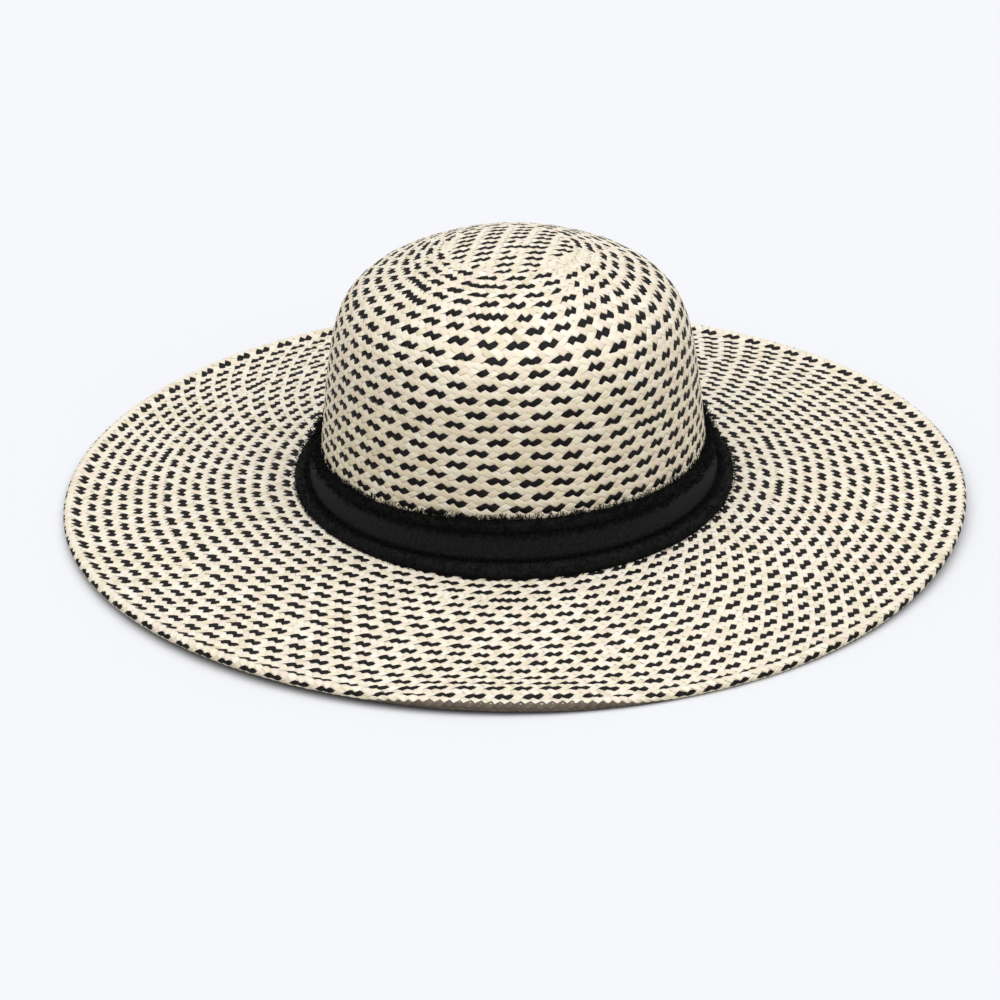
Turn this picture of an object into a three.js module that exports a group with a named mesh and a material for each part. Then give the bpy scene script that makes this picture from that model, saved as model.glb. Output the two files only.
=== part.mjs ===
// Wide-brim hat woven in one piece from black and natural straw, with a black band around the crown:
// a strip with both edges frayed, and a ribbed ribbon over its middle.
// Millimetres, +Z up. The rolled rim of the brim rests on z = 0 and the hat's front faces -Y.

import * as THREE from 'three';
import { mergeVertices } from 'three/addons/utils/BufferGeometryUtils.js';

// Head opening, inside the straw where the crown meets the brim.
const headWidth = 166;
const headLength = 197.4;

// Straw.
const strawThickness = 1.8;
const crownHeight = 103.4;
const crownLean = 3.4;
const crownBend = 4.5;
const brimWidth = 106.2;
const brimDrop = 8.8;
const brimWave = 3.8;

// Rim, where the weave is turned over the edge of the brim.
const rimWidth = 6;
const rimThickness = 4.2;

// Band: its frayed strip, and how that strip dips at the sides of the head.
const rollHeight = 4.6;
const rollReach = 7.9;
const fringeHeight = 4.4;
const fringeThickness = 3;
const stripThickness = 1.2;
const sideDip = 4.6;
const leftDip = 1.4;

// Ribbon over the strip.
const ribbonHeight = 11.2;
const ribbonThickness = 0.8;

// Gap left between pieces that touch.
const clearance = 0.3;

// Faces around the hat, and along each stretch of the straw from the top of the crown to the rim.
const facesAround = 64;
const crownFaces = 19;
const bendFaces = 3;
const brimFaces = 7;

// Crown from the bend to the top: height as a share of the wall above the bend, and reach from the
// axis as a share of the reach where the crown meets the brim.
const CROWN_SECTION = [
  { height: 1, reach: 0 },
  { height: 0.992, reach: 0.167 },
  { height: 0.962, reach: 0.346 },
  { height: 0.907, reach: 0.522 },
  { height: 0.828, reach: 0.71 },
  { height: 0.75, reach: 0.81 },
  { height: 0.685, reach: 0.852 },
  { height: 0.58, reach: 0.889 },
  { height: 0.401, reach: 0.921 },
  { height: 0.254, reach: 0.938 },
  { height: 0.107, reach: 0.958 },
  { height: 0, reach: 0.985 },
];

// Brim from the crown to the rim: out as a share of the way, fall as a share of the brim's drop.
const BRIM_SECTION = [
  { out: 0, fall: 0 },
  { out: 0.15, fall: 0.07 },
  { out: 0.3, fall: 0.2 },
  { out: 0.45, fall: 0.37 },
  { out: 0.6, fall: 0.56 },
  { out: 0.75, fall: 0.76 },
  { out: 0.9, fall: 0.94 },
  { out: 1, fall: 1 },
];

// Rolled rim, from the brim's underside round to its top: out as a share of the rim's width, up as a
// share of its thickness. The stretch at up 0 is the flat that rests on the table.
const RIM_SECTION = [
  { out: 0.08, up: 0.1 },
  { out: 0.22, up: 0 },
  { out: 0.72, up: 0 },
  { out: 0.93, up: 0.2 },
  { out: 1, up: 0.5 },
  { out: 0.9, up: 0.84 },
  { out: 0.62, up: 1 },
  { out: 0.28, up: 0.98 },
];

// Waves of the rim around the hat, as shares of the brim's wave: the rim lifts by their sum, and
// where that would be below the table it lies flat, in three places.
const WAVE_MEAN = 0.31;
const BRIM_WAVES = [
  { turns: 1, alongX: 0.18, alongY: -0.11 },
  { turns: 2, alongX: 0.18, alongY: 0.14 },
  { turns: 3, alongX: 0.31, alongY: -0.02 },
];

// How fast the brim's wave dies away from the rim towards the crown.
const WAVE_FADE = 1.5;

// Parts of the side dip taken up by the roll, below the ribbon, and by the fringe above it.
const ROLL_DIP_SHARE = 0.35;
const FRINGE_DIP_SHARE = 0.5;

// Roll of the strip, from its tip on the brim up to the ribbon: in from the tip as a share of the
// roll's reach, up as a share of its height.
const ROLL_SECTION = [
  { in: 0, up: 0.45 },
  { in: 0.2, up: 1.05 },
  { in: 0.45, up: 1.25 },
];

// Fringe above the ribbon: out as a share of its thickness, down from the top as a share of its height.
const FRINGE_SECTION = [
  { out: 1, down: 1 },
  { out: 0.9, down: 0.25 },
  { out: 0.4, down: 0 },
];

// Worked out from the sizes above. A reach is measured at the side of the head, along X.
const rootReach = headWidth / 2 + strawThickness / 2;
const rootHeight = rimThickness / 2 + brimDrop;
const ovalExtra = (headLength - headWidth) / 2;
const rimOuterReach = headWidth / 2 + strawThickness + brimWidth;
const rimInnerReach = rimOuterReach - rimWidth;
const brimTop = rootHeight + strawThickness / 2;

// How far the rim is lifted off the table at an angle around the hat.
function rimLift(angle) {
  const wave = BRIM_WAVES.reduce(
    (sum, w) => sum + w.alongX * Math.cos(w.turns * angle) + w.alongY * Math.sin(w.turns * angle),
    WAVE_MEAN,
  );
  return brimWave * Math.max(0, wave);
}

// Places a point of a section: the head is longer than wide, the crown's top leans back a little, and
// the brim carries the wave.
function place(point, angle) {
  const oval = ovalExtra * Math.min(1, point.middle / rootReach);
  const outward = Math.max(0, (point.middle - rootReach) / (rimInnerReach - rootReach));
  const upward = Math.max(0, (point.height - brimTop) / crownHeight);
  const lean = crownLean * upward * (point.reach / rootReach) * -Math.sin(angle);
  return new THREE.Vector3(
    point.reach * Math.cos(angle),
    (point.reach + oval) * Math.sin(angle),
    point.height + lean + rimLift(angle) * outward ** WAVE_FADE,
  );
}

// Middle of the straw, from the top of the crown, down its wall, round the bend and out to the rim.
function strawMiddle() {
  const wallHeight = crownHeight - crownBend;
  const crown = new THREE.SplineCurve(
    CROWN_SECTION.map(
      (row) =>
        new THREE.Vector2(
          row.reach * rootReach,
          rootHeight + crownBend + row.height * wallHeight,
        ),
    ),
  );
  const brimStart = rootReach + crownBend;
  const brim = new THREE.SplineCurve(
    BRIM_SECTION.map(
      (row) =>
        new THREE.Vector2(
          brimStart + row.out * (rimInnerReach - brimStart),
          rootHeight - row.fall * brimDrop,
        ),
    ),
  );
  const bend = new THREE.QuadraticBezierCurve(
    crown.getPoint(1),
    new THREE.Vector2(rootReach, rootHeight),
    brim.getPoint(0),
  );
  return [
    ...crown.getSpacedPoints(crownFaces),
    ...bend.getPoints(bendFaces).slice(1),
    ...brim.getSpacedPoints(brimFaces).slice(1),
  ];
}

const MIDDLE = strawMiddle();

// The straw's surface at a distance above its middle, or below it where the distance is negative.
function strawSurface(distance) {
  return MIDDLE.map((point, i) => {
    if (i === 0) {
      return { reach: 0, height: point.y + distance, middle: 0 };
    }
    const before = MIDDLE[i - 1];
    const after = MIDDLE[Math.min(i + 1, MIDDLE.length - 1)];
    const along = after.clone().sub(before).normalize();
    return {
      reach: point.x - along.y * distance,
      height: point.y + along.x * distance,
      middle: point.x,
    };
  });
}

// A point between two others of a surface.
function between(a, b, share) {
  return {
    reach: THREE.MathUtils.lerp(a.reach, b.reach, share),
    height: THREE.MathUtils.lerp(a.height, b.height, share),
    middle: THREE.MathUtils.lerp(a.middle, b.middle, share),
  };
}

// The point of a surface at a height on the crown's wall.
function atHeight(surface, height) {
  const next = surface.findIndex((point) => point.height <= height);
  const a = surface[next - 1];
  const b = surface[next];
  return between(a, b, (a.height - height) / (a.height - b.height));
}

// The point of a surface at a reach on the brim.
function atReach(surface, reach) {
  const next = surface.findIndex((point) => point.reach >= reach && point.middle > rootReach);
  const a = surface[next - 1];
  const b = surface[next];
  return between(a, b, (reach - a.reach) / (b.reach - a.reach));
}

// Moves a point of the crown's wall outwards.
function outwards(point, distance) {
  return { ...point, reach: point.reach + distance };
}

// One closed solid around the axis, from its section at each angle, listed anticlockwise.
function turned(sectionAt) {
  const first = sectionAt(0).map((point) => new THREE.Vector2(point.reach, point.height));
  const lathe = new THREE.LatheGeometry(first, facesAround);
  const position = lathe.getAttribute('position');
  for (let i = 0; i <= facesAround; i += 1) {
    const angle = ((i % facesAround) / facesAround) * 2 * Math.PI;
    sectionAt(angle).forEach((point, j) => {
      const { x, y, z } = place(point, angle);
      position.setXYZ(i * first.length + j, x, y, z);
    });
  }
  lathe.deleteAttribute('normal');
  lathe.deleteAttribute('uv');
  const geometry = mergeVertices(lathe);
  const corners = geometry.getIndex().array;
  const kept = [];
  for (let i = 0; i < corners.length; i += 3) {
    const [a, b, c] = corners.slice(i, i + 3);
    if (a !== b && b !== c && c !== a) kept.push(a, b, c);
  }
  geometry.setIndex(kept);
  geometry.computeVertexNormals();
  return geometry;
}

// Crown, brim and rolled rim, woven in one.
function strawBody() {
  const inside = strawSurface(-strawThickness / 2);
  const outside = strawSurface(strawThickness / 2);
  const rim = RIM_SECTION.map((row) => ({
    reach: rimInnerReach + row.out * rimWidth,
    height: row.up * rimThickness,
    middle: rimInnerReach,
  }));
  const section = [...inside, ...rim, ...outside.reverse()];
  return turned(() => section);
}

// Heights on the band at an angle around the head, above the top of the brim.
function bandLevels(angle) {
  const dip = sideDip * Math.cos(angle) ** 2 - leftDip * Math.cos(angle);
  const ribbonFoot = rollHeight - ROLL_DIP_SHARE * dip;
  const ribbonTop = ribbonFoot + ribbonHeight;
  const stripTop = ribbonTop + fringeHeight - FRINGE_DIP_SHARE * dip;
  return {
    ribbonFoot: brimTop + ribbonFoot,
    ribbonTop: brimTop + ribbonTop,
    stripTop: brimTop + stripTop,
  };
}

// Frayed strip: a fringe above the ribbon, a thin backing behind it, and a fluffy roll below it that
// lies out on the brim.
function frayedBand() {
  const seat = strawSurface(strawThickness / 2 + clearance);
  const tipReach = headWidth / 2 + strawThickness + rollReach;
  const tip = atReach(seat, tipReach);
  const bend = seat.slice(crownFaces, crownFaces + bendFaces + 1);
  return turned((angle) => {
    const { ribbonFoot, ribbonTop, stripTop } = bandLevels(angle);
    const foot = atHeight(seat, ribbonFoot - clearance);
    const head = atHeight(seat, ribbonTop + clearance);
    const waist = atHeight(seat, (foot.height + head.height) / 2);
    const top = atHeight(seat, stripTop);
    const roll = ROLL_SECTION.map((row) => ({
      ...tip,
      reach: tip.reach - row.in * rollReach,
      height: tip.height + row.up * (foot.height - tip.height),
    }));
    const fringe = FRINGE_SECTION.map((row) =>
      outwards(
        atHeight(seat, stripTop - row.down * (stripTop - head.height)),
        row.out * fringeThickness,
      ),
    );
    return [
      top,
      waist,
      ...bend,
      tip,
      ...roll,
      outwards(foot, fringeThickness),
      outwards(foot, stripThickness),
      outwards(waist, stripThickness),
      outwards(head, stripThickness),
      ...fringe,
      top,
    ];
  });
}

// Ribbed ribbon, lying on the strip's backing between its two frayed edges.
function ribbon() {
  const seat = strawSurface(strawThickness / 2 + clearance);
  const inner = stripThickness + clearance;
  const outer = inner + ribbonThickness;
  return turned((angle) => {
    const { ribbonFoot, ribbonTop } = bandLevels(angle);
    const foot = atHeight(seat, ribbonFoot);
    const waist = atHeight(seat, (ribbonFoot + ribbonTop) / 2);
    const top = atHeight(seat, ribbonTop);
    return [
      outwards(top, inner),
      outwards(waist, inner),
      outwards(foot, inner),
      outwards(foot, outer),
      outwards(waist, outer),
      outwards(top, outer),
      outwards(top, inner),
    ];
  });
}

function piece(name, geometry, colour, roughness) {
  const material = new THREE.MeshStandardMaterial({ color: colour, roughness, metalness: 0 });
  const mesh = new THREE.Mesh(geometry, material);
  mesh.name = name;
  return mesh;
}

const hat = new THREE.Group();
hat.add(piece('straw_body', strawBody(), 0xe8dfc6, 0.7));
hat.add(piece('frayed_band', frayedBand(), 0x191817, 0.95));
hat.add(piece('ribbon', ribbon(), 0x1d1d1f, 0.8));

export default hat;
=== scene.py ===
# Wide-brim hat woven in one from black and natural straw, with a black frayed band around the crown
# and a ribbed ribbon over its middle. Sizes of the hat are in millimetres. Meshes are made in metres,
# +Z up, in the frame of the part: the rim rests on z = 0 and the hat's front faces -Y.

import math

import bpy
import numpy as np
from mathutils import Matrix, Vector


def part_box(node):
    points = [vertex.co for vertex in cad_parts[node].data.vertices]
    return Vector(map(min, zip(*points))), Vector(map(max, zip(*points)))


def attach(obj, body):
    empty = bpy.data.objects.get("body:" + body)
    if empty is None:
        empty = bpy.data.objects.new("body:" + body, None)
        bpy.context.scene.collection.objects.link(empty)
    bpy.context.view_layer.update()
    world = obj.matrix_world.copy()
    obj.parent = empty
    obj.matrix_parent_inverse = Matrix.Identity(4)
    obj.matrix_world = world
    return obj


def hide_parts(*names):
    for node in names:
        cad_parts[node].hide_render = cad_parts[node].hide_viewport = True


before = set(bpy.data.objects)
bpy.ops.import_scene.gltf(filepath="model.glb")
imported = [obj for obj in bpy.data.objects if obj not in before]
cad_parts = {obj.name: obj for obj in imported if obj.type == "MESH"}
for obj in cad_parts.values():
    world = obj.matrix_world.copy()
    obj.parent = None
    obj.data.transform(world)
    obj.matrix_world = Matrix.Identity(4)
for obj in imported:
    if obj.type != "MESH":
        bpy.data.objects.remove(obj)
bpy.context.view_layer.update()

MM = 0.001
TURN = 2 * math.pi

# Straw of the part. Its rim's outer reach and the crown's top are taken from the frame.
straw_low, straw_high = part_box("straw_body")
HEAD_WIDTH = 166.0
HEAD_LENGTH = 197.4
STRAW = 1.8
CROWN_LEAN = 3.4
CROWN_BEND = 4.5
BRIM_DROP = 8.8
BRIM_WAVE = 3.8
RIM_WIDTH = 6.0
RIM_THICKNESS = 4.2
CLEARANCE = 0.3

# Band of the part.
ROLL_HEIGHT = 4.6
ROLL_REACH = 7.9
FRINGE_HEIGHT = 4.4
FRINGE_THICKNESS = 3.0
STRIP_THICKNESS = 1.2
RIBBON_HEIGHT = 11.2
RIBBON_THICKNESS = 0.8
SIDE_DIP = 4.6
LEFT_DIP = 1.4
ROLL_DIP_SHARE = 0.35
FRINGE_DIP_SHARE = 0.5

# Crown: height share above the bend, reach share. Brim: share outwards, share of the drop.
CROWN_SECTION = (
    (1, 0),
    (0.992, 0.167),
    (0.962, 0.346),
    (0.907, 0.522),
    (0.828, 0.71),
    (0.75, 0.81),
    (0.685, 0.852),
    (0.58, 0.889),
    (0.401, 0.921),
    (0.254, 0.938),
    (0.107, 0.958),
    (0, 0.985),
)
BRIM_SECTION = (
    (0, 0),
    (0.15, 0.07),
    (0.3, 0.2),
    (0.45, 0.37),
    (0.6, 0.56),
    (0.75, 0.76),
    (0.9, 0.94),
    (1, 1),
)
# Rim from the brim's top round its edge to the underside: share outwards, share up.
RIM_SECTION = (
    (-0.18, 0.714),
    (0.05, 0.83),
    (0.28, 0.98),
    (0.62, 1),
    (0.9, 0.84),
    (1, 0.5),
    (0.93, 0.2),
    (0.72, 0.02),
    (0.22, 0.02),
    (0.04, 0.2),
    (-0.18, 0.286),
)
# Waves of the rim around the hat: turns, along X, along Y.
WAVE_MEAN = 0.31
BRIM_WAVES = ((1, 0.18, -0.11), (2, 0.18, 0.14), (3, 0.31, -0.02))
WAVE_FADE = 1.5
ROLL_SECTION = ((0, 0.45), (0.2, 1.05), (0.45, 1.25))
FRINGE_SECTION = ((1, 1), (0.9, 0.25), (0.4, 0))

ROOT_REACH = HEAD_WIDTH / 2 + STRAW / 2
ROOT_HEIGHT = RIM_THICKNESS / 2 + BRIM_DROP
OVAL_EXTRA = (HEAD_LENGTH - HEAD_WIDTH) / 2
RIM_REACH = (straw_high.x - straw_low.x) / 2 / MM - RIM_WIDTH
BRIM_TOP = ROOT_HEIGHT + STRAW / 2
CROWN_HEIGHT = straw_high.z / MM - BRIM_TOP

# Weave: the rows of straw from the crown's top out to the rim. In each zone the weaver works a number
# of rows, a gap apart in mm, over a number of strands around, with more strands at every row.
FIRST_ROW = 24.1
WEAVE_ZONES = (
    {"rows": 4, "gap": 5.1, "strands": 51, "more": 9},
    {"rows": 4, "gap": 6.7, "strands": 102, "more": 0},
    {"rows": 5, "gap": 5.3, "strands": 117, "more": 0},
    {"rows": 9, "gap": 5.3, "strands": 123, "more": 0},
    {"rows": 5, "gap": 5.7, "strands": 183, "more": 0},
    {"rows": 7, "gap": 5.93, "strands": 237, "more": 0},
    {"rows": 7, "gap": 5.83, "strands": 315, "more": 0},
    {"rows": 3, "gap": 4.6, "strands": 315, "more": 0},
)
# The last rows are strands turned under at the hem, coloured a darker brown than the rest: painted shade
# under the rim.
HEM_ROWS = 3
# Kinds of straw, in the order of the materials on a woven piece.
NATURAL = 0
DYED = 1
HEM_IN_PAINTED_SHADE = 2
# Share of strands of the wrong colour: in rows where strands come in, and in the patch.
RING_FAULTS = 0.04
PATCH_FAULTS = 0.06
# The start of the weave is a round patch of straight rows, its columns leaning to the right.
PATCH_REACH = 26.6
PATCH_PITCH = 3.6
PATCH_ROW = 5.1
PATCH_LEAN = 0.22
PATCH_ROWS = range(-1, 11)
PATCH_COLUMNS = np.arange(-12, 13)
# Pale streaks where patch and rings meet, without black strands: middle x and y, half length, half
# width. They run up to the right at the angle below.
PALE_STREAKS = ((25.5, -10.0, 14.0, 3.6), (-29.0, 4.0, 7.0, 3.4))
STREAK_ANGLE = math.radians(54)

# One strand's float, in mm: how much it arches over what it crosses and how round it is across.
FLOAT_LIFT = 0.3
FLOAT_DIP = 0.37
FLOAT_ROUND = 0.24
FLOAT_REACH = 1.22
# No two floats are alike: the least and most of their width and arch as shares, and a shift in mm.
WIDTH_SPREAD = (0.92, 1.06)
ARCH_SPREAD = (0.85, 1.15)
HEIGHT_SPREAD = (-0.05, 0.05)
# Widths of black floats, of natural ones beside them and of those that cross both, as shares of the
# pitch: the dyed straw has shrunk, so the natural strands close over it.
BLACK_WIDTH = 1.08
BLACK_WIDTH_BRIM = 1.13
BLACK_WIDTH_PATCH = 0.86
BLACK_LENGTH = 0.95
NATURAL_WIDTH = 1.12
CROSSING_WIDTH = 1.26
# Black floats lie a little deeper and dive further down at their ends.
BLACK_SINK = 0.05
BLACK_DIP = 0.9
# The rows wander sideways and down in waves: size in mm, turns round the hat, turn with every mm along
# the straw, and start. They are calm near the crown's top.
SIDEWAYS_WAVES = ((0.3, 31, 0.23, 0), (0.28, 53, -0.37, 2), (0.22, 79, 0.71, 4))
DOWN_WAVES = ((0.3, 7, 0.09, 0), (0.25, 19, -0.17, 1), (0.18, 67, 0.41, 3))
CALM_REACH = 30
# The rows of the crown run lower to the right, by this many mm at the side of the head. The tilt grows
# over a stretch below the crown's top and fades over one before the rim.
ROW_TILT = 2.8
TILT_START = 40
TILT_GROWS = 50
TILT_FADES = 110
# The outer rows are pulled outwards, but squeezed together at the front: mm at places on the brim.
PULLED_PLACES = (18, 100, 106, 111, 122)
PULL = (0, 4.6, 7.0, 5.6, 0)
SQUEEZED_PLACES = (86, 94, 100, 106, 111, 122)
SQUEEZE = (0, 2.1, 4.9, 4.5, -0.7, 0)
# How far round the front reaches to each side, and how abruptly it ends before and at the hem.
FRONT_WIDTH = math.radians(15)
FRONT_PLACES = (106, 111)
FRONT_END = (4, 2)
# The weave sits this much tighter round the hem, from this place on the brim over the next few mm.
HEM_TUCK = 0.35
TUCK_START = 100
TUCK_GROWS = 8


# Camera at the photograph's view: fitted to the outline of rim and crown.
def add_camera():
    elevation = math.radians(24.12)
    roll = 0.016
    distance = 1920.2 * MM
    target = Vector((-6.13 * MM, 0, -1.545 * MM))
    forward = Vector((0, math.cos(elevation), -math.sin(elevation)))
    upright = Vector((0, math.sin(elevation), math.cos(elevation)))
    sideways = Vector((1, 0, 0))
    right = sideways * math.cos(roll) - upright * math.sin(roll)
    up = upright * math.cos(roll) + sideways * math.sin(roll)
    data = bpy.data.cameras.new("camera")
    data.sensor_width = 36
    data.lens = 162.65
    data.clip_end = 50
    camera = bpy.data.objects.new("camera", data)
    bpy.context.collection.objects.link(camera)
    place = target - forward * distance
    turned = Matrix((right, up, -forward)).transposed().to_4x4()
    camera.matrix_world = Matrix.Translation(place) @ turned
    bpy.context.scene.camera = camera


# A smooth line through points, with the same number of steps between each two.
def smooth_line(points, steps):
    points = np.asarray(points, float)
    share = np.linspace(0, 1, steps, endpoint=False)[:, None]
    line = []
    for i in range(len(points) - 1):
        before = points[max(i - 1, 0)]
        a = points[i]
        b = points[i + 1]
        after = points[min(i + 2, len(points) - 1)]
        leave = (b - before) / 2
        arrive = (after - a) / 2
        cubic = 2 * a - 2 * b + leave + arrive
        square = 3 * b - 3 * a - 2 * leave - arrive
        line.append(cubic * share**3 + square * share**2 + leave * share + a)
    line.append(points[-1:])
    return np.concatenate(line)


# Distance along a line of points, and its unit normals to the left of the way it runs.
def measured(line):
    steps = np.linalg.norm(np.diff(line, axis=0), axis=1)
    along = np.concatenate([[0], np.cumsum(steps)])
    way = np.gradient(line, along, axis=0)
    way /= np.linalg.norm(way, axis=1)[:, None]
    return along, np.stack([-way[:, 1], way[:, 0]], 1)


# Steps between two points of the straw's line, over the bend at the crown's foot, and on the rim.
LINE_STEPS = 40
BEND_STEPS = 30
RIM_STEPS = 12
# Gap between the last point of the brim's skin and the first of the rim's, in mm.
RIM_GAP = 0.4


# Middle of the straw from the crown's top to the rim: reach from the axis and height.
def straw_middle():
    wall = CROWN_HEIGHT - CROWN_BEND
    foot = ROOT_HEIGHT + CROWN_BEND
    crown_points = [(reach * ROOT_REACH, foot + up * wall) for up, reach in CROWN_SECTION]
    crown = smooth_line(crown_points, LINE_STEPS)
    start = ROOT_REACH + CROWN_BEND
    way = RIM_REACH - start
    brim_points = [(start + out * way, ROOT_HEIGHT - fall * BRIM_DROP) for out, fall in BRIM_SECTION]
    brim = smooth_line(brim_points, LINE_STEPS)
    share = np.linspace(0, 1, BEND_STEPS)[1:-1, None]
    corner = np.array([ROOT_REACH, ROOT_HEIGHT])
    bend = (1 - share) ** 2 * crown[-1] + 2 * share * (1 - share) * corner + share**2 * brim[0]
    return np.concatenate([crown, bend, brim])


MIDDLE = straw_middle()
ALONG, OUTWARD = measured(MIDDLE)
RIM_POINTS = [(RIM_REACH + out * RIM_WIDTH, up * RIM_THICKNESS) for out, up in RIM_SECTION]
RIM_LINE = smooth_line(RIM_POINTS, RIM_STEPS)
RIM_ALONG = measured(RIM_LINE)[0]
# Where the brim starts, measured along the straw: at the foot of the crown's wall.
BRIM_ALONG = np.interp(-ROOT_HEIGHT - CROWN_BEND, -MIDDLE[:, 1], ALONG)


# Places points given by reach, height and the reach of the straw's middle, at angles around the hat.
def placed(reach, height, middle, angle):
    oval = OVAL_EXTRA * np.minimum(1, middle / ROOT_REACH)
    outward = np.maximum(0, (middle - ROOT_REACH) / (RIM_REACH - ROOT_REACH))
    upward = np.maximum(0, (height - BRIM_TOP) / CROWN_HEIGHT)
    lean = CROWN_LEAN * upward * (reach / ROOT_REACH) * -np.sin(angle)
    wave = WAVE_MEAN
    for turns, along_x, along_y in BRIM_WAVES:
        wave = wave + along_x * np.cos(turns * angle) + along_y * np.sin(turns * angle)
    lift = BRIM_WAVE * np.maximum(0, wave) * np.minimum(1, outward) ** WAVE_FADE
    return np.stack([reach * np.cos(angle), (reach + oval) * np.sin(angle), height + lean + lift], -1)


# The straw's two skins as lines: outside from the crown's top to the rim and round its edge to the
# underside, inside from the crown's top to the rim. Both are measured along the straw's middle.
def skin_line(side):
    line = MIDDLE + side * STRAW / 2 * OUTWARD
    middle = MIDDLE[:, 0]
    along = ALONG
    if side > 0:
        kept = middle < RIM_LINE[0, 0]
        line = np.concatenate([line[kept], RIM_LINE])
        middle = np.concatenate([middle[kept], np.full(len(RIM_LINE), RIM_REACH)])
        along = np.concatenate([along[kept], along[kept][-1] + RIM_ALONG + RIM_GAP])
    way = np.gradient(line, along, axis=0)
    way /= np.linalg.norm(way, axis=1)[:, None]
    return along, line, middle, np.stack([-way[:, 1], way[:, 0]], 1) * side


SKINS = {side: skin_line(side) for side in (1, -1)}


# Points on a skin of the straw, a distance along it from the crown's top, and a height off it.
def on_skin(side, angle, along, off):
    places, line, middles, normals = SKINS[side]
    reach = np.interp(along, places, line[:, 0]) + off * np.interp(along, places, normals[:, 0])
    height = np.interp(along, places, line[:, 1]) + off * np.interp(along, places, normals[:, 1])
    return placed(reach, height, np.interp(along, places, middles), angle)


# Keeps a place on the last ring within the table.
RING_END = 0.001
# The oval rings of the straw lie this many mm apart, each with this many even steps around it.
RING_STEP = 2.0
SHARES = 720


# Angles at the even steps around each ring, counted from the front to the right.
def ring_table():
    angles = np.linspace(-TURN / 4, TURN * 3 / 4, SHARES + 1)
    even = np.linspace(0, 1, SHARES + 1)
    rings = []
    for along in np.arange(0, SKINS[1][0][-1] + RING_STEP, RING_STEP):
        ring = on_skin(1, angles, np.full_like(angles, max(along, RING_STEP)), 0)
        walked = np.concatenate([[0], np.cumsum(np.linalg.norm(np.diff(ring, axis=0), axis=1))])
        rings.append(np.interp(even, walked / walked[-1], angles))
    return np.array(rings)


RINGS = ring_table()


# Angle at a share of the turn around the ring at a place along the straw.
def ring_angle(along, share):
    row = np.clip(along / RING_STEP, 0, len(RINGS) - 1 - RING_END)
    turns = np.floor(share)
    column = (share - turns) * SHARES
    i = row.astype(int)
    j = np.minimum(column.astype(int), SHARES - 1)
    down = row - i
    right = column - j
    upper = RINGS[i, j] * (1 - right) + RINGS[i, j + 1] * right
    lower = RINGS[i + 1, j] * (1 - right) + RINGS[i + 1, j + 1] * right
    return upper * (1 - down) + lower * down + turns * TURN


# Rows of the weave as lists: place along the straw, strands around and zone.
def weave_rows():
    rows = []
    along = FIRST_ROW
    for zone, chart in enumerate(WEAVE_ZONES):
        for i in range(chart["rows"]):
            along += chart["gap"]
            strands = chart["strands"] + i * chart["more"]
            fresh = i == 0 or chart["more"] > 0
            rows.append({"along": along, "strands": strands, "zone": zone, "fresh": fresh})
    return rows


ROWS = weave_rows()
CROWN_ROWS = sum(chart["rows"] for chart in WEAVE_ZONES[:4])
INNER_ROWS = sum(chart["rows"] for chart in WEAVE_ZONES[:6])


# The floats of one row, as a table of numbers: x in pitches, along in mm, the pitch as a share of a
# turn, half the row's gap, the way it leans, its strand, and the kind of straw.
def row_floats(along, strands, half_gap, leans_up, offset, strand, kind):
    count = np.arange(strands)
    return {
        "x": count + offset,
        "along": np.full(strands, along),
        "pitch": np.full(strands, 1 / strands),
        "half": np.full(strands, half_gap),
        "up": np.full(strands, leans_up),
        "strand": strand,
        "kind": kind,
    }


# Whether places on the crown's top, in mm from its middle, lie on a pale streak.
def on_streak(x, y):
    pale = np.zeros(len(x), bool)
    for middle_x, middle_y, long, wide in PALE_STREAKS:
        far = (x - middle_x) * math.cos(STREAK_ANGLE) + (y - middle_y) * math.sin(STREAK_ANGLE)
        near = (x - middle_x) * math.sin(STREAK_ANGLE) - (y - middle_y) * math.cos(STREAK_ANGLE)
        pale |= (np.abs(far) < long) & (np.abs(near) < wide)
    return pale


def gathered(tables):
    return {key: np.concatenate([table[key] for table in tables]) for key in tables[0]}


# All floats of the rings, seen from outside or inside. A strand that leans up to the right is black
# where its count gives 0 or 1 of every 3, and strands that lean down are natural.
def ring_floats(inside, first, last, random):
    tables = []
    for index in range(first, last):
        row = ROWS[index]
        above = ROWS[index - 1]["along"] if index else row["along"] - PATCH_ROW
        below = ROWS[index + 1]["along"] if index + 1 < len(ROWS) else 2 * row["along"] - above
        half = (below - above) / 4
        count = np.arange(row["strands"])
        strand = count - index
        black = strand % 3 < 2
        if row["fresh"]:
            black ^= random.random(len(count)) < RING_FAULTS
        turn = TURN * (count / row["strands"] - 0.25)
        black &= ~on_streak(row["along"] * np.cos(turn), row["along"] * np.sin(turn))
        kind = np.where(black, DYED, NATURAL)
        cross_kind = np.full(len(count), NATURAL)
        # The hem's rows take the darker brown of the painted shade under the rim.
        if index >= len(ROWS) - HEM_ROWS:
            kind[:] = HEM_IN_PAINTED_SHADE
        if index > len(ROWS) - HEM_ROWS:
            cross_kind[:] = HEM_IN_PAINTED_SHADE
        middle = (row["along"] + above) / 2
        half_above = (row["along"] - above) / 2
        seat = row["along"]
        between = middle
        if inside:
            seat, between = middle, row["along"]
        tables.append(row_floats(seat, row["strands"], half, True, 0.0, strand + 7 * row["zone"], kind))
        cross = count + index + 1000 * (row["zone"] + 1)
        tables.append(row_floats(between, row["strands"], half_above, False, 0.5, cross, cross_kind))
    floats = gathered(tables)
    black_width = BLACK_WIDTH if last <= CROWN_ROWS else BLACK_WIDTH_BRIM
    x, lean = float_shape(floats, inside, black_width, random)
    along = floats["along"][:, None] - lean * floats["half"][:, None]
    angle = ring_angle(along, (floats["x"][:, None] + x) * floats["pitch"][:, None])
    return floats, *pulled(angle, along, inside)


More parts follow.
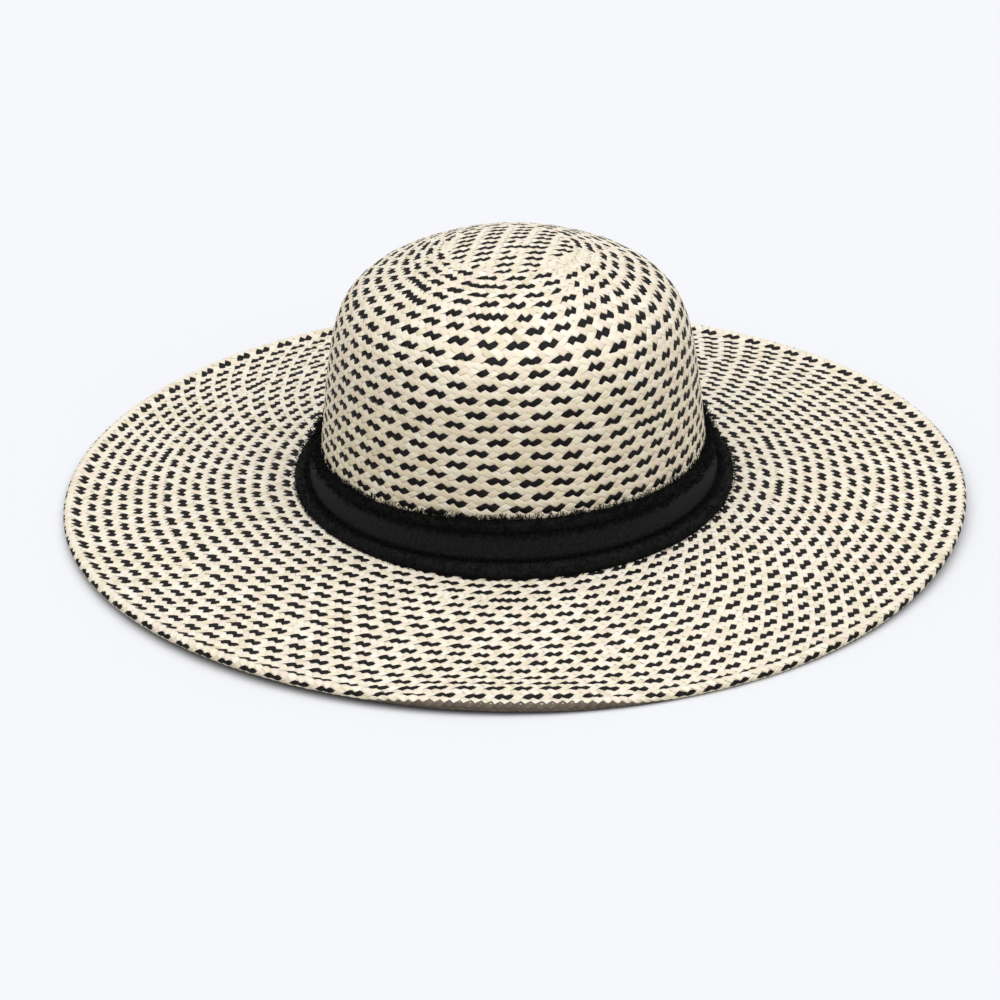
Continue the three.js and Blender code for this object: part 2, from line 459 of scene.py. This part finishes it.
# How wide each float is, and its points around its middle: in pitches across and in half gaps up.
def float_shape(floats, inside, black_width, random):
    grid_a, grid_b = float_grid(inside)
    black = floats["kind"] == DYED
    width = np.where(floats["up"], np.where(black, black_width, NATURAL_WIDTH), CROSSING_WIDTH)
    wide = grid_b[None] * (width * random.uniform(*WIDTH_SPREAD, len(width)))[:, None]
    long = grid_a[None] * np.where(black, BLACK_LENGTH, 1)[:, None]
    lean = np.where(floats["up"], 1, -1)[:, None] * (long - wide) / 2
    return (long + wide) / 2, lean


# Sum of a table of waves at places on the straw.
def wander(waves, angle, along):
    return sum(size * np.sin(turns * angle + twist * along + start) for size, turns, twist, start in waves)


# Hand-pulled rows are never quite even: the whole weave wanders a little both ways. The outer rows
# are pulled towards the hem, but for the front, where the last few are squeezed together.
def pulled(angle, along, inside):
    sideways = wander(SIDEWAYS_WAVES, angle, along)
    down = wander(DOWN_WAVES, angle, along)
    calm = np.clip(along / CALM_REACH, 0, 1)
    grown = np.clip((along - TILT_START) / TILT_GROWS, 0, 1)
    wall = grown * np.clip((ALONG[-1] - along) / TILT_FADES, 0, 1)
    down = calm * down + ROW_TILT * wall * np.cos(angle)
    if not inside:
        front = np.angle(np.exp(1j * (angle + TURN / 4)))
        outward = np.interp(along - BRIM_ALONG, PULLED_PLACES, PULL)
        squeezed = np.interp(along - BRIM_ALONG, SQUEEZED_PLACES, SQUEEZE)
        end = np.interp(along - BRIM_ALONG, FRONT_PLACES, FRONT_END)
        at_front = np.exp(-(np.abs(front / FRONT_WIDTH) ** end))
        down = down + outward * (1 - at_front) - squeezed * at_front
    return angle + calm * sideways / (along + 20), along + down


# The floats of the patch at the crown's top, laid in straight rows.
def patch_floats(inside, random):
    tables = []
    for i in PATCH_ROWS:
        for up in (True, False):
            columns = PATCH_COLUMNS
            y = -FIRST_ROW + i * PATCH_ROW
            if up == inside:
                y += PATCH_ROW / 2
            x = (columns + (0 if up else 0.5)) * PATCH_PITCH
            keep = np.hypot(x + PATCH_LEAN * y, y) < PATCH_REACH
            x = x[keep]
            columns = columns[keep]
            black = (columns % 3 < 2) ^ (random.random(len(x)) < PATCH_FAULTS)
            black &= up & ~on_streak(x + PATCH_LEAN * y, np.full(len(x), y))
            tables.append(
                {
                    "x": x,
                    "along": np.full(len(x), y),
                    "pitch": np.full(len(x), PATCH_PITCH),
                    "half": np.full(len(x), PATCH_ROW / 2),
                    "up": np.full(len(x), up),
                    "strand": columns + (2 * i if up else 500 - 2 * i),
                    "kind": np.where(black, DYED, NATURAL),
                }
            )
    floats = gathered(tables)
    x, lean = float_shape(floats, inside, BLACK_WIDTH_PATCH, random)
    y = floats["along"][:, None] + lean * floats["half"][:, None]
    x = floats["x"][:, None] + x * PATCH_PITCH + PATCH_LEAN * y
    return floats, *pulled(np.arctan2(y, x), np.hypot(x, y), True)


# Points over a float: along it in five stations, and across it in four outside and three inside.
LONG_STATIONS = (-FLOAT_REACH, -0.7, 0.0, 0.7, FLOAT_REACH)
WIDE_OUTSIDE = (-0.5, -0.33, 0.33, 0.5)
WIDE_INSIDE = (-0.5, 0.0, 0.5)


def float_grid(inside):
    across = WIDE_INSIDE if inside else WIDE_OUTSIDE
    long, wide = np.meshgrid(LONG_STATIONS, across, indexing="ij")
    return long.ravel(), wide.ravel()


def float_faces(inside):
    across = len(WIDE_INSIDE if inside else WIDE_OUTSIDE)
    faces = []
    for i in range(len(LONG_STATIONS) - 1):
        for j in range(across - 1):
            a = i * across + j
            faces.append((a, a + across, a + across + 1, a + 1))
    return np.array(faces)


# A woven skin: every float a small arched strip that dives under the strands that cross it.
def weave(name, parts, side, random):
    grid_a, grid_b = float_grid(side < 0)
    template = float_faces(side < 0)
    points = []
    faces = []
    kinds = []
    tone = []
    strand_uv = []
    start = 0
    strand_tone = random.random(4096)
    for floats, angle, along in parts:
        amount = len(floats["x"])
        share = grid_a[None] / FLOAT_REACH
        natural_arch = FLOAT_LIFT - (FLOAT_LIFT + FLOAT_DIP) * share**2
        black_arch = FLOAT_LIFT - BLACK_SINK - (FLOAT_LIFT + BLACK_DIP) * share**4
        arch = np.where((floats["kind"] == DYED)[:, None], black_arch, natural_arch)
        height = arch * random.uniform(*ARCH_SPREAD, (amount, 1)) - FLOAT_ROUND * (2 * grid_b[None]) ** 4
        height = height + random.uniform(*HEIGHT_SPREAD, (amount, 1))
        height = height - HEM_TUCK * np.clip((along - BRIM_ALONG - TUCK_START) / TUCK_GROWS, 0, 1)
        points.append(on_skin(side, angle, along, height).reshape(-1, 3))
        ids = start + np.arange(amount)[:, None, None] * len(grid_a) + template[None]
        turned = floats["up"] if side > 0 else ~floats["up"]
        ids[turned] = ids[turned][:, :, ::-1]
        faces.append(ids.reshape(-1, 4))
        start += amount * len(grid_a)
        kinds.append(np.repeat(floats["kind"], len(template)))
        shade = strand_tone[floats["strand"] % 4096] * 0.75 + random.random(amount) * 0.25
        tone.append(np.repeat(shade, len(template)))
        length = 2.6 * grid_a[None] + random.uniform(0, 200, (amount, 1))
        width = 2.4 * grid_b[None] + random.uniform(0, 200, (amount, 1))
        strand_uv.append(np.stack([length, width], -1).reshape(-1, 2))
    points = np.concatenate(points)
    faces = np.concatenate(faces)
    obj = mesh_object(name, points, faces)
    mesh = obj.data
    mesh.polygons.foreach_set("material_index", np.concatenate(kinds).astype(np.int32))
    shade = mesh.attributes.new("tone", "FLOAT", "FACE")
    shade.data.foreach_set("value", np.concatenate(tone).astype(np.float32))
    crisp = mesh.attributes.new("sharp_edge", "BOOLEAN", "EDGE")
    crisp.data.foreach_set("value", strap_edges(mesh, side < 0))
    add_uv(mesh, "Strand", np.concatenate(strand_uv), faces)
    add_uv(mesh, "OFBake", bake_places(start // len(grid_a), grid_a / FLOAT_REACH, 2 * grid_b), faces)
    return obj


# The two crisp edges along each float, where its flat top turns down.
def strap_edges(mesh, inside):
    across = len(WIDE_INSIDE if inside else WIDE_OUTSIDE)
    ends = np.empty(2 * len(mesh.edges), np.int32)
    mesh.edges.foreach_get("vertices", ends)
    first, second = ends.reshape(-1, 2).T % across
    return (first == second) & np.isin(first, (1, across - 2))


# A place of its own on the baked picture for each float.
def bake_places(amount, long, wide):
    cells = math.ceil(math.sqrt(amount))
    number = np.arange(amount)[:, None]
    u = (number % cells + 0.5 + 0.42 * long[None]) / cells
    v = (number // cells + 0.5 + 0.42 * wide[None]) / cells
    return np.stack([u, v], -1).reshape(-1, 2)


def add_uv(mesh, name, places, faces):
    layer = mesh.uv_layers.new(name=name)
    layer.data.foreach_set("uv", places[faces.ravel()].astype(np.float32).ravel())


def mesh_object(name, points, faces):
    mesh = bpy.data.meshes.new(name)
    mesh.from_pydata((points * MM).tolist(), [], faces.tolist())
    mesh.polygons.foreach_set("use_smooth", np.ones(len(faces), bool))
    mesh.update()
    obj = bpy.data.objects.new(name, mesh)
    bpy.context.collection.objects.link(obj)
    return obj


# A skin that closes around the hat, from a grid whose points are moved to their place.
def skin_around(name, around, across, place):
    bpy.ops.object.select_all(action="DESELECT")
    bpy.ops.mesh.primitive_grid_add(x_subdivisions=around, y_subdivisions=across, size=1)
    obj = bpy.context.object
    obj.name = name
    mesh = obj.data
    flat = np.empty(len(mesh.vertices) * 3)
    mesh.vertices.foreach_get("co", flat)
    flat = flat.reshape(-1, 3) + 0.5
    points = place(flat[:, 0] * TURN, flat[:, 1])
    mesh.vertices.foreach_set("co", (points * MM).ravel())
    bpy.ops.object.mode_set(mode="EDIT")
    bpy.ops.mesh.select_all(action="SELECT")
    bpy.ops.mesh.remove_doubles(threshold=1e-6)
    bpy.ops.mesh.normals_make_consistent(inside=False)
    bpy.ops.object.mode_set(mode="OBJECT")
    bpy.ops.object.shade_smooth()
    return obj


# Section of the straw's wall, once round: under the weave outside, round the rim and back inside.
def straw_wall_place(angle, share):
    outer = on_skin(1, angle, share / 0.56 * SKINS[1][0][-1], -0.5)
    inner = on_skin(-1, angle, (1 - share) / 0.44 * ALONG[-1], -0.5)
    return np.where((share < 0.56)[:, None], outer, inner)


def heights_on_band(angle):
    dip = SIDE_DIP * np.cos(angle) ** 2 - LEFT_DIP * np.cos(angle)
    foot = BRIM_TOP + ROLL_HEIGHT - ROLL_DIP_SHARE * dip
    head = foot + RIBBON_HEIGHT
    top = head + FRINGE_HEIGHT - FRINGE_DIP_SHARE * dip
    return foot, head, top


SEAT = STRAW / 2 + CLEARANCE
SEAT_LINE = MIDDLE + SEAT * OUTWARD


# Reach of the seat on the crown's wall at a height.
def wall_reach(height):
    wall = (MIDDLE[:, 0] <= ROOT_REACH) & (MIDDLE[:, 0] > ROOT_REACH / 2)
    return np.interp(height, SEAT_LINE[wall, 1][::-1], SEAT_LINE[wall, 0][::-1])


# Section of the frayed strip at angles around the head, from the roll's tip on the brim up to the
# fringe's top, then back down behind: two arrays of reach and height.
def strip_section(angle):
    foot, head, top = heights_on_band(angle)
    same = np.ones_like(angle)
    tip_reach = HEAD_WIDTH / 2 + STRAW + ROLL_REACH
    brim = MIDDLE[:, 0] > ROOT_REACH + CROWN_BEND
    tip_height = np.interp(tip_reach, SEAT_LINE[brim, 0], SEAT_LINE[brim, 1])
    low = foot - CLEARANCE
    high = head + CLEARANCE
    waist = (low + high) / 2
    line = [(tip_reach * same, tip_height * same)]
    for inwards, up in ROLL_SECTION:
        line.append(((tip_reach - inwards * ROLL_REACH) * same, tip_height + up * (low - tip_height)))
    line.append((wall_reach(low) + FRINGE_THICKNESS, low))
    for height in (low, waist, high):
        line.append((wall_reach(height) + STRIP_THICKNESS, height))
    for out, down in FRINGE_SECTION:
        height = top - down * (top - high)
        line.append((wall_reach(height) + out * FRINGE_THICKNESS, height))
    line.append((wall_reach(top), top))
    for height in (waist, (low + BRIM_TOP + 3) / 2):
        line.append((wall_reach(height), height))
    for share in (0.3, 0.6):
        line.append((ROOT_REACH + share * ROLL_REACH + same, (BRIM_TOP + CLEARANCE) * same))
    line.append(line[0])
    return np.array([part[0] for part in line]), np.array([part[1] for part in line])


def strip_place(angle, share):
    reach, height = strip_section(angle)
    last = len(reach) - 1
    step = np.minimum((share * last).astype(int), last - 1)
    part = share * last - step
    column = np.arange(len(angle))
    reach = reach[step, column] * (1 - part) + reach[step + 1, column] * part
    height = height[step, column] * (1 - part) + height[step + 1, column] * part
    return placed(reach, height, np.minimum(reach, ROOT_REACH), angle)


def ribbon_place(angle, share):
    foot, head, top = heights_on_band(angle)
    height = foot + share * (head - foot)
    off = STRIP_THICKNESS + CLEARANCE
    return placed(wall_reach(height) + off, height, np.full_like(height, ROOT_REACH), angle)


# Hairs of the frayed edges: each a thin tube of three sides along a curl of five points.
HAIR_POINTS = 5
HAIR_SIDES = 3


def hairs(name, roots, ways, random, length, radius, curl):
    amount = len(roots)
    side = np.cross(ways, random.normal(size=ways.shape))
    side /= np.linalg.norm(side, axis=1)[:, None]
    other = np.cross(ways, side)
    reach = random.uniform(*length, amount)[:, None]
    turn = random.uniform(0.6, 1.4, amount)[:, None] * math.pi
    wide = random.uniform(*curl, amount)[:, None]
    line = []
    for k in range(HAIR_POINTS):
        share = k / (HAIR_POINTS - 1)
        swing = turn * share
        line.append(
            roots
            + ways * reach * np.sin(share * 2.2)
            + side * wide * (1 - np.cos(swing))
            + other * wide * np.sin(swing)
        )
    line = np.stack(line, 1)
    along = np.gradient(line, axis=1)
    along /= np.linalg.norm(along, axis=2)[:, :, None]
    across = np.cross(along, side[:, None, :])
    across /= np.linalg.norm(across, axis=2)[:, :, None] + 1e-9
    third = np.cross(along, across)
    points = []
    for k in range(HAIR_SIDES):
        angle = TURN * k / HAIR_SIDES
        points.append(line + radius * (math.cos(angle) * across + math.sin(angle) * third))
    points = np.stack(points, 2).reshape(-1, 3)
    template = []
    for i in range(HAIR_POINTS - 1):
        for k in range(HAIR_SIDES):
            a = i * HAIR_SIDES + k
            b = i * HAIR_SIDES + (k + 1) % HAIR_SIDES
            template.append((a, b, b + HAIR_SIDES, a + HAIR_SIDES))
    template = np.array(template)
    faces = np.arange(amount)[:, None, None] * HAIR_POINTS * HAIR_SIDES + template[None]
    return mesh_object(name, points, faces.reshape(-1, 4))


# Roots and ways of hairs on a stretch of the strip's section.
def hair_roots(amount, first, last, random, spread, droop):
    angle = random.uniform(0, TURN, amount)
    share = random.uniform(first, last, amount)
    here = strip_place(angle, share)
    up = strip_place(angle, share + 0.002) - here
    along = strip_place(angle + 0.002, share) - here
    way = np.cross(along, up)
    way /= np.linalg.norm(way, axis=1)[:, None]
    way = way + random.normal(size=way.shape) * spread + np.array([0, 0, droop])
    way /= np.linalg.norm(way, axis=1)[:, None]
    return here, way


def linear(code):
    parts = [int(code[i : i + 2], 16) / 255 for i in (1, 3, 5)]
    parts = [part / 12.92 if part <= 0.04045 else ((part + 0.055) / 1.055) ** 2.4 for part in parts]
    return (*parts, 1.0)


def add(tree, kind, inputs=None, **settings):
    node = tree.nodes.new(kind)
    for key, value in settings.items():
        setattr(node, key, value)
    for key, value in (inputs or {}).items():
        if isinstance(value, bpy.types.NodeSocket):
            tree.links.new(value, node.inputs[key])
        else:
            node.inputs[key].default_value = value
    return node


def new_material(name):
    material = bpy.data.materials.new(name)
    material.use_nodes = True
    material.node_tree.nodes.clear()
    return material, material.node_tree


def set_stops(node, stops):
    ramp = node.color_ramp
    while len(ramp.elements) < len(stops):
        ramp.elements.new(0.5)
    for element, (place, code) in zip(ramp.elements, stops):
        element.position = place
        element.color = linear(code)


# Painted light: faces that look up are made whiter than the upright ones, while the lamps here light both
# alike.
# This puts the difference into the straw's colour: the shares of red, green and blue.
PAINTED_TOP_LIGHT = (1.0, 1.03, 1.13)


# Split palm-leaf straw, plaited damp: each strand has its own tone, with fibres along it, and painted
# light whitens the faces that look up.
def straw_material(name, stops, streak, roughness, specular):
    material, tree = new_material(name)
    uv = add(tree, "ShaderNodeUVMap", uv_map="Strand")
    # Fibres 0.3 mm apart across the strand and several mm long.
    stretched = add(tree, "ShaderNodeMapping", {"Vector": uv.outputs["UV"], "Scale": (0.2, 3.2, 1.0)})
    fibres = add(
        tree, "ShaderNodeTexNoise", {"Vector": stretched.outputs["Vector"], "Scale": 1.0, "Detail": 2.0}
    )
    tone = add(tree, "ShaderNodeAttribute", attribute_name="tone")
    ramp = add(tree, "ShaderNodeValToRGB", {"Fac": tone.outputs["Fac"]})
    set_stops(ramp, stops)
    darker = add(
        tree,
        "ShaderNodeMapRange",
        {
            "Value": fibres.outputs["Fac"],
            "From Min": 0.25,
            "From Max": 0.75,
            "To Min": streak,
            "To Max": 1.0,
        },
    )
    colour = add(
        tree,
        "ShaderNodeVectorMath",
        {0: ramp.outputs["Color"], "Scale": darker.outputs["Result"]},
        operation="SCALE",
    )
    # Painted light: whiter where it faces up.
    facing = add(tree, "ShaderNodeNewGeometry")
    upward = add(tree, "ShaderNodeSeparateXYZ", {"Vector": facing.outputs["Normal"]})
    painted_light_by_facing = add(
        tree,
        "ShaderNodeMapRange",
        {
            "Vector": upward.outputs["Z"],
            "From Min": (0.3,) * 3,
            "From Max": (1.0,) * 3,
            "To Min": (1.0,) * 3,
            "To Max": PAINTED_TOP_LIGHT,
        },
        data_type="FLOAT_VECTOR",
    )
    colour_with_painted_light = add(
        tree,
        "ShaderNodeVectorMath",
        {0: colour.outputs["Vector"], 1: painted_light_by_facing.outputs["Vector"]},
        operation="MULTIPLY",
    )
    bump = add(
        tree, "ShaderNodeBump", {"Height": fibres.outputs["Fac"], "Strength": 0.5, "Distance": 0.12 * MM}
    )
    shader = add(
        tree,
        "ShaderNodeBsdfPrincipled",
        {
            "Base Color": colour_with_painted_light.outputs["Vector"],
            "Roughness": roughness,
            "Specular IOR Level": specular,
            "Normal": bump.outputs["Normal"],
        },
    )
    add(tree, "ShaderNodeOutputMaterial", {"Surface": shader.outputs["BSDF"]})
    return material


# Cotton yarn, dyed black and dull.
def yarn_material(name, code, roughness):
    material, tree = new_material(name)
    place = add(tree, "ShaderNodeTexCoord")
    noise = add(
        tree, "ShaderNodeTexNoise", {"Vector": place.outputs["Object"], "Scale": 900.0, "Detail": 2.0}
    )
    ramp = add(tree, "ShaderNodeValToRGB", {"Fac": noise.outputs["Fac"]})
    set_stops(ramp, ((0.3, "#020202"), (0.75, code)))
    bump = add(
        tree, "ShaderNodeBump", {"Height": noise.outputs["Fac"], "Strength": 0.6, "Distance": 0.3 * MM}
    )
    shader = add(
        tree,
        "ShaderNodeBsdfPrincipled",
        {
            "Base Color": ramp.outputs["Color"],
            "Roughness": roughness,
            "Specular IOR Level": 0.12,
            "Normal": bump.outputs["Normal"],
        },
    )
    add(tree, "ShaderNodeOutputMaterial", {"Surface": shader.outputs["BSDF"]})
    return material


# Ribbed grosgrain ribbon, black, with ribs across it 0.65 mm apart.
RIB = 0.65


def ribbon_material(name):
    material, tree = new_material(name)
    uv = add(tree, "ShaderNodeUVMap", uv_map="Ribbon")
    split = add(tree, "ShaderNodeSeparateXYZ", {"Vector": uv.outputs["UV"]})
    ribs = add(tree, "ShaderNodeMath", {0: split.outputs["X"], 1: TURN / RIB}, operation="MULTIPLY")
    wave = add(tree, "ShaderNodeMath", {0: ribs.outputs["Value"]}, operation="SINE")
    noise = add(tree, "ShaderNodeTexNoise", {"Vector": uv.outputs["UV"], "Scale": 0.8, "Detail": 4.0})
    ramp = add(tree, "ShaderNodeValToRGB", {"Fac": noise.outputs["Fac"]})
    set_stops(ramp, ((0.38, "#080809"), (0.62, "#1c1c1d")))
    bump = add(
        tree, "ShaderNodeBump", {"Height": wave.outputs["Value"], "Strength": 1.0, "Distance": 0.16 * MM}
    )
    shader = add(
        tree,
        "ShaderNodeBsdfPrincipled",
        {
            "Base Color": ramp.outputs["Color"],
            "Roughness": 0.65,
            "Specular IOR Level": 0.17,
            "Normal": bump.outputs["Normal"],
        },
    )
    add(tree, "ShaderNodeOutputMaterial", {"Surface": shader.outputs["BSDF"]})
    return material


def floor_material():
    material, tree = new_material("pale seamless paper")
    shader = add(
        tree,
        "ShaderNodeBsdfPrincipled",
        {"Base Color": (0.58, 0.586, 0.607, 1), "Roughness": 0.9, "Specular IOR Level": 0.0},
    )
    add(tree, "ShaderNodeOutputMaterial", {"Surface": shader.outputs["BSDF"]})
    return material


def add_studio():
    bpy.ops.object.select_all(action="DESELECT")
    bpy.ops.mesh.primitive_plane_add(size=30)
    floor = bpy.context.object
    floor.name = "floor"
    floor.data.materials.append(floor_material())
    world = bpy.data.worlds.new("studio")
    world.use_nodes = True
    background = world.node_tree.nodes["Background"]
    background.inputs["Color"].default_value = (1.0, 1.0, 1.0, 1)
    background.inputs["Strength"].default_value = 0.5
    bpy.context.scene.world = world
    data = bpy.data.lights.new("overhead", "SUN")
    data.energy = 3.57
    data.angle = math.radians(100)
    light = bpy.data.objects.new("overhead", data)
    light.rotation_euler = (math.radians(14), math.radians(4), 0)
    bpy.context.collection.objects.link(light)
    scene = bpy.context.scene
    scene.view_settings.view_transform = "Standard"
    scene.view_settings.look = "None"


def finish_piece(obj, slot, node, *materials):
    for material in materials:
        obj.data.materials.append(material)
    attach(obj, "root")
    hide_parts(node)


add_camera()
add_studio()

natural = straw_material(
    "toquilla straw, natural",
    ((0.0, "#c1b596"), (0.25, "#d1c6ab"), (0.5, "#d6cdb7"), (0.75, "#cdbea7"), (1.0, "#dad5c3")),
    0.9,
    0.5,
    0.35,
)
dyed = straw_material(
    "toquilla straw, dyed black",
    ((0.0, "#0b0808"), (0.5, "#100d0d"), (1.0, "#181415")),
    0.75,
    0.5,
    0.12,
)
# Darker brown for the hem's turned-under strands: painted shade under the rim.
turned = straw_material(
    "toquilla straw, turned under, in painted shade", ((0.0, "#50463c"), (0.5, "#5a4f43"), (1.0, "#63584a")), 0.8, 0.6, 0.2
)
core = straw_material("toquilla straw, inner strands", ((0.0, "#d7cbaa"), (1.0, "#d7cbaa")), 0.8, 0.6, 0.2)
yarn = yarn_material("cotton yarn, dyed black", "#0a0a0a", 0.7)
grosgrain = ribbon_material("grosgrain ribbon, black")

random = np.random.default_rng(20)
under_rows = len(ROWS) - HEM_ROWS - 1
outside_crown = [patch_floats(False, random), ring_floats(False, 0, CROWN_ROWS, random)]
inner_brim = [ring_floats(False, CROWN_ROWS, INNER_ROWS, random)]
outer_brim = [ring_floats(False, INNER_ROWS, len(ROWS), random)]
inside_crown = [patch_floats(True, random), ring_floats(True, 0, CROWN_ROWS, random)]
under_brim = [ring_floats(True, CROWN_ROWS, under_rows, random)]
for name, parts, side in (
    ("crown_weave", outside_crown, 1),
    ("inner_brim_weave", inner_brim, 1),
    ("outer_brim_weave", outer_brim, 1),
    ("crown_inside", inside_crown, -1),
    ("brim_underside", under_brim, -1),
):
    finish_piece(weave(name, parts, side, random), "straw", "straw_body", natural, dyed, turned)

wall = skin_around("straw_wall", 144, 110, straw_wall_place)
wall.data.uv_layers[0].name = "Strand"
finish_piece(wall, "straw", "straw_body", core)

strip = skin_around("frayed_strip", 288, 48, strip_place)
finish_piece(strip, "band", "frayed_band", yarn)

ribbon = skin_around("grosgrain_ribbon", 288, 6, ribbon_place)
ribbon_angles = np.linspace(0, TURN, 721)
ribbon_line = ribbon_place(ribbon_angles, np.full_like(ribbon_angles, 0.5))
ribbon_length = np.linalg.norm(np.diff(ribbon_line, axis=0), axis=1).sum()
solid = ribbon.modifiers.new("thickness", "SOLIDIFY")
solid.thickness = RIBBON_THICKNESS * MM
solid.offset = 1
bpy.ops.object.select_all(action="DESELECT")
bpy.context.view_layer.objects.active = ribbon
bpy.ops.object.modifier_apply(modifier="thickness")
ribbon.data.uv_layers[0].name = "Ribbon"
loops = len(ribbon.data.loops)
places = np.empty(loops * 2, np.float32)
ribbon.data.uv_layers["Ribbon"].data.foreach_get("uv", places)
places = places.reshape(-1, 2) * np.array([ribbon_length, RIBBON_HEIGHT])
ribbon.data.uv_layers["Ribbon"].data.foreach_set("uv", places.astype(np.float32).ravel())
finish_piece(ribbon, "ribbon", "ribbon", grosgrain)

# The strip's section has sixteen stretches: the roll is the first four, the fringe the three above
# the ribbon.
SECTION_STRETCHES = 16
for name, amount, first, last, droop, length in (
    ("roll_loops", 3000, 0.0, 3.8, -0.1, (0.5, 1.4)),
    ("roll_top_loops", 900, 3.6, 4.5, 0.6, (0.6, 1.8)),
    ("fringe_loops", 3800, 7.9, 11.0, 0.3, (0.6, 3.3)),
    ("fringe_foot_loops", 2400, 7.2, 8.2, -0.6, (0.8, 2.9)),
):
    roots, ways = hair_roots(
        amount, first / SECTION_STRETCHES, last / SECTION_STRETCHES, random, 0.5, droop
    )
    loops = hairs(name, roots, ways, random, length, 0.16, (0.25, 0.8))
    finish_piece(loops, "band", "frayed_band", yarn)
